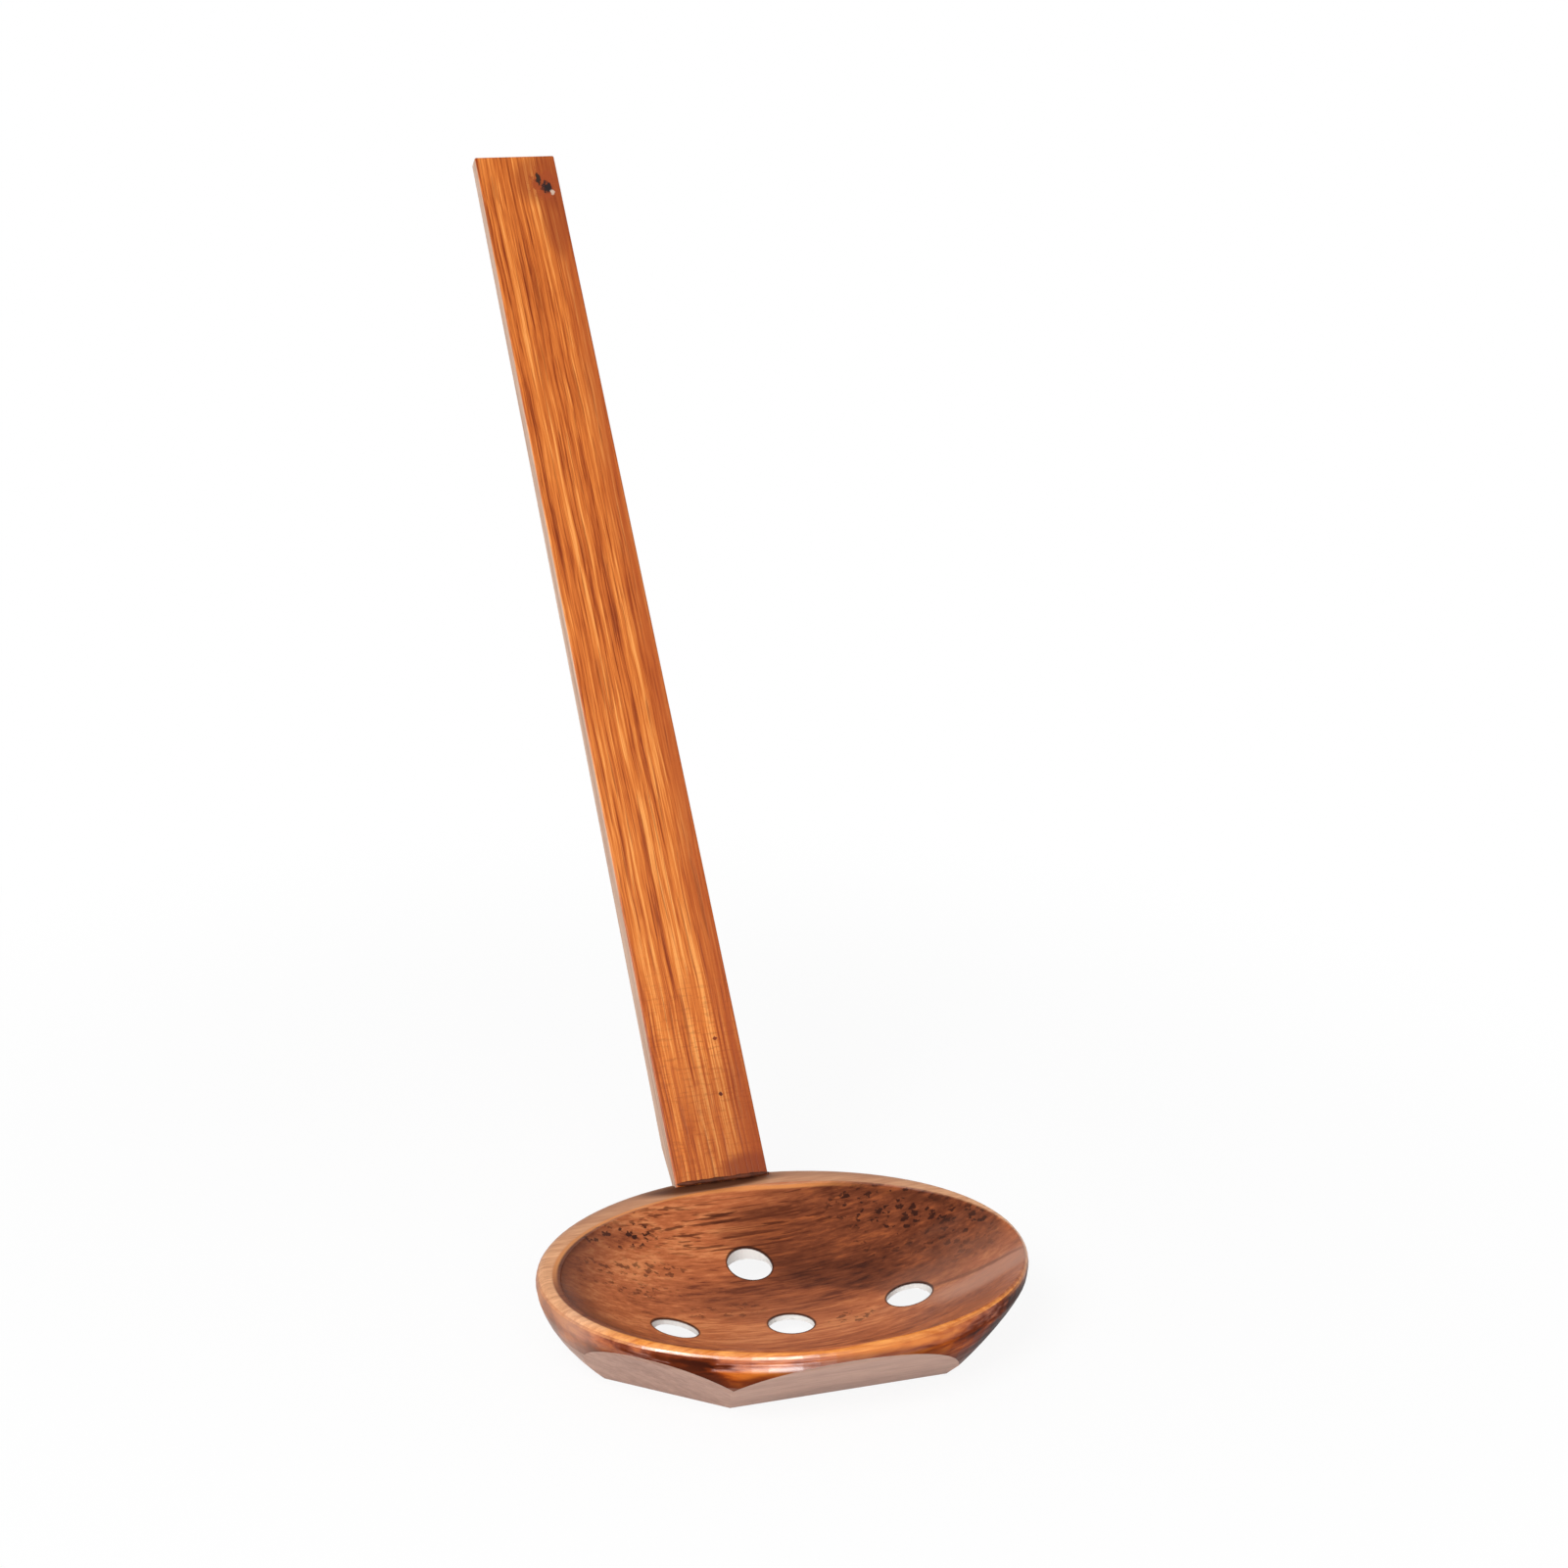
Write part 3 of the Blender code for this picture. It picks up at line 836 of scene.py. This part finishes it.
def glue_shader():
    """Brown, lumpy set glue."""
    shader = Shader("set_glue")
    lumps = shader.noise(shader.place(seat), *GLUE_LUMPS)
    shader.give("Base Color", shader.ramp(lumps, GLUE_GRAIN))
    shader.give("Roughness", shader.compute("MULTIPLY_ADD", lumps, *GLUE_ROUGHNESS))
    shader.give("Specular IOR Level", GLUE_SPECULAR)
    shader.give("Normal", shader.bump(lumps, *GLUE_RELIEF))
    return shader


def dress(node, material):
    """Puts a material on a CAD node in place of its own."""
    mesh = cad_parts[node].data
    for index in range(len(mesh.materials)):
        mesh.materials[index] = material
    if not mesh.materials:
        mesh.materials.append(material)


def bead_loop(part, low, high):
    """One ring of points around the glue bead, at a part of its length from 0 to 1."""
    middle = (low + high) / 2
    girth = BEAD_GIRTH
    for share, pace, start in BEAD_SWELLS:
        girth += share * math.sin(part * pace + start)
    taper = min(1.0, BEAD_TAPER * part + BEAD_END, BEAD_TAPER * (1.0 - part) + BEAD_END)
    radius = BEAD_RADIUS * girth * taper
    sway_share, sway_pace = BEAD_SWAY
    sway = sway_share * BEAD_RADIUS * math.sin(part * sway_pace)
    points = []
    for side in range(BEAD_SIDES):
        angle = 2.0 * math.pi * side / BEAD_SIDES
        x = low.x + (high.x - low.x) * part
        y = middle.y + sway + radius * math.cos(angle)
        z = middle.z + BEAD_FLATNESS * radius * math.sin(angle)
        points.append((x, y, z))
    return points


def add_glue_bead(material):
    """The squeezed-out glue along the foot of the handle, uneven like a wiped bead."""
    low, high = (Vector(corner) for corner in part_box("glue_seam"))
    surface = bmesh.new()
    loops = []
    for step in range(BEAD_STEPS + 1):
        points = bead_loop(step / BEAD_STEPS, low, high)
        loops.append([surface.verts.new(point) for point in points])
    for near, far in zip(loops, loops[1:]):
        for side in range(BEAD_SIDES):
            after = (side + 1) % BEAD_SIDES
            surface.faces.new((near[side], near[after], far[after], far[side]))
    surface.faces.new(list(reversed(loops[0])))
    surface.faces.new(loops[-1])
    bmesh.ops.recalc_face_normals(surface, faces=surface.faces)
    for face in surface.faces:
        face.smooth = True
    mesh = bpy.data.meshes.new("glue_bead")
    surface.to_mesh(mesh)
    surface.free()
    mesh.materials.append(material)
    bead = bpy.data.objects.new("glue_bead", mesh)
    bpy.context.scene.collection.objects.link(bead)
    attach(bead, "root")
    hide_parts("glue_seam")


def joined(tree, operation, first, second):
    node = tree.nodes.new("ShaderNodeMath")
    node.operation = operation
    tree.links.new(first, node.inputs[0])
    tree.links.new(second, node.inputs[1])
    return node.outputs[0]


def white_when_seen(tree, shaded, white_kind, share=None):
    """Plain white to the camera, in gloss and through glass; other light meets the real surface."""
    path = tree.nodes.new("ShaderNodeLightPath")
    seen = path.outputs["Is Camera Ray"]
    for ray in ("Is Glossy Ray", "Is Transmission Ray"):
        seen = joined(tree, "MAXIMUM", seen, path.outputs[ray])
    if share is not None:
        seen = joined(tree, "MULTIPLY", seen, share)
    white = tree.nodes.new(white_kind)
    white.inputs["Color"].default_value = WHITE
    white.inputs["Strength"].default_value = 1.0
    blend = tree.nodes.new("ShaderNodeMixShader")
    tree.links.new(seen, blend.inputs[0])
    tree.links.new(shaded, blend.inputs[1])
    tree.links.new(white.outputs[0], blend.inputs[2])
    return blend.outputs[0]


def floor_shader():
    """White floor that keeps a share of the object's shadow near it."""
    shader = Shader("white_floor")
    shader.give("Base Color", (FLOOR_GREY, FLOOR_GREY, FLOOR_GREY, 1.0))
    shader.give("Roughness", FLOOR_ROUGHNESS)
    distance = shader.oval(shader.place(bowl_centre), *SHADOW_OVAL)
    share = shader.fade(distance, SHADOW_CORE, 1.0, 1.0 - SHADOW_SHARE, 1.0)
    surface = white_when_seen(shader.tree, shader.main.outputs[0], "ShaderNodeEmission", share)
    shader.tree.links.new(surface, shader.tree.nodes["Material Output"].inputs["Surface"])
    return shader


def add_floor():
    side = FLOOR_HALF_SIDE
    corners = [(-side, -side, 0.0), (side, -side, 0.0), (side, side, 0.0), (-side, side, 0.0)]
    mesh = bpy.data.meshes.new("floor")
    mesh.from_pydata(corners, [], [(0, 1, 2, 3)])
    mesh.materials.append(floor_shader().material)
    floor = bpy.data.objects.new("floor", mesh)
    bpy.context.scene.collection.objects.link(floor)
    floor.location.z = -FLOOR_DROP


def add_world():
    world = bpy.data.worlds.new("studio")
    bpy.context.scene.world = world
    world.use_nodes = True
    tree = world.node_tree
    background = tree.nodes["Background"]
    background.inputs["Color"].default_value = WHITE
    background.inputs["Strength"].default_value = WORLD_STRENGTH
    surface = white_when_seen(tree, background.outputs[0], "ShaderNodeBackground")
    tree.links.new(surface, tree.nodes["World Output"].inputs["Surface"])


def add_lamp(name, place, aim, size, power, shape="RECTANGLE"):
    lamp = bpy.data.lights.new(name, "AREA")
    lamp.shape = shape
    lamp.size, lamp.size_y = size
    lamp.energy = power
    holder = bpy.data.objects.new(name, lamp)
    bpy.context.scene.collection.objects.link(holder)
    holder.location = bowl_centre + Vector(place)
    holder.rotation_euler = (Vector(aim) - Vector(place)).to_track_quat("-Z", "Y").to_euler()
    return holder


def add_camera():
    camera = bpy.data.cameras.new("camera")
    camera.sensor_width = SENSOR
    camera.lens = FOCAL_PIXELS / IMAGE_SIDE * SENSOR
    camera.clip_start = NEAR_CLIP
    holder = bpy.data.objects.new("camera", camera)
    bpy.context.scene.collection.objects.link(holder)
    level = math.cos(CAMERA_PITCH)
    ahead = Vector((
        math.sin(CAMERA_TURN) * level,
        math.cos(CAMERA_TURN) * level,
        -math.sin(CAMERA_PITCH),
    ))
    right = Vector((math.cos(CAMERA_TURN), -math.sin(CAMERA_TURN), 0.0))
    up = right.cross(ahead)
    place = bowl_centre + CAMERA_FROM_BOWL
    holder.matrix_world = Matrix((
        (right.x, up.x, -ahead.x, place.x),
        (right.y, up.y, -ahead.y, place.y),
        (right.z, up.z, -ahead.z, place.z),
        (0.0, 0.0, 0.0, 1.0),
    ))
    bpy.context.scene.camera = holder


glue = glue_shader().material
dress("bowl", BowlWood().material)
dress("handle", HandleWood().material)
dress("glue_bed", glue)
add_glue_bead(glue)
add_floor()
add_world()
for lamp_row in LAMPS:
    add_lamp(*lamp_row)
for card_row in HIGHLIGHT_CARDS:
    card = add_lamp(*card_row, shape="ELLIPSE")
    card.visible_diffuse = False
add_camera()
bpy.context.scene.view_settings.view_transform = "Standard"
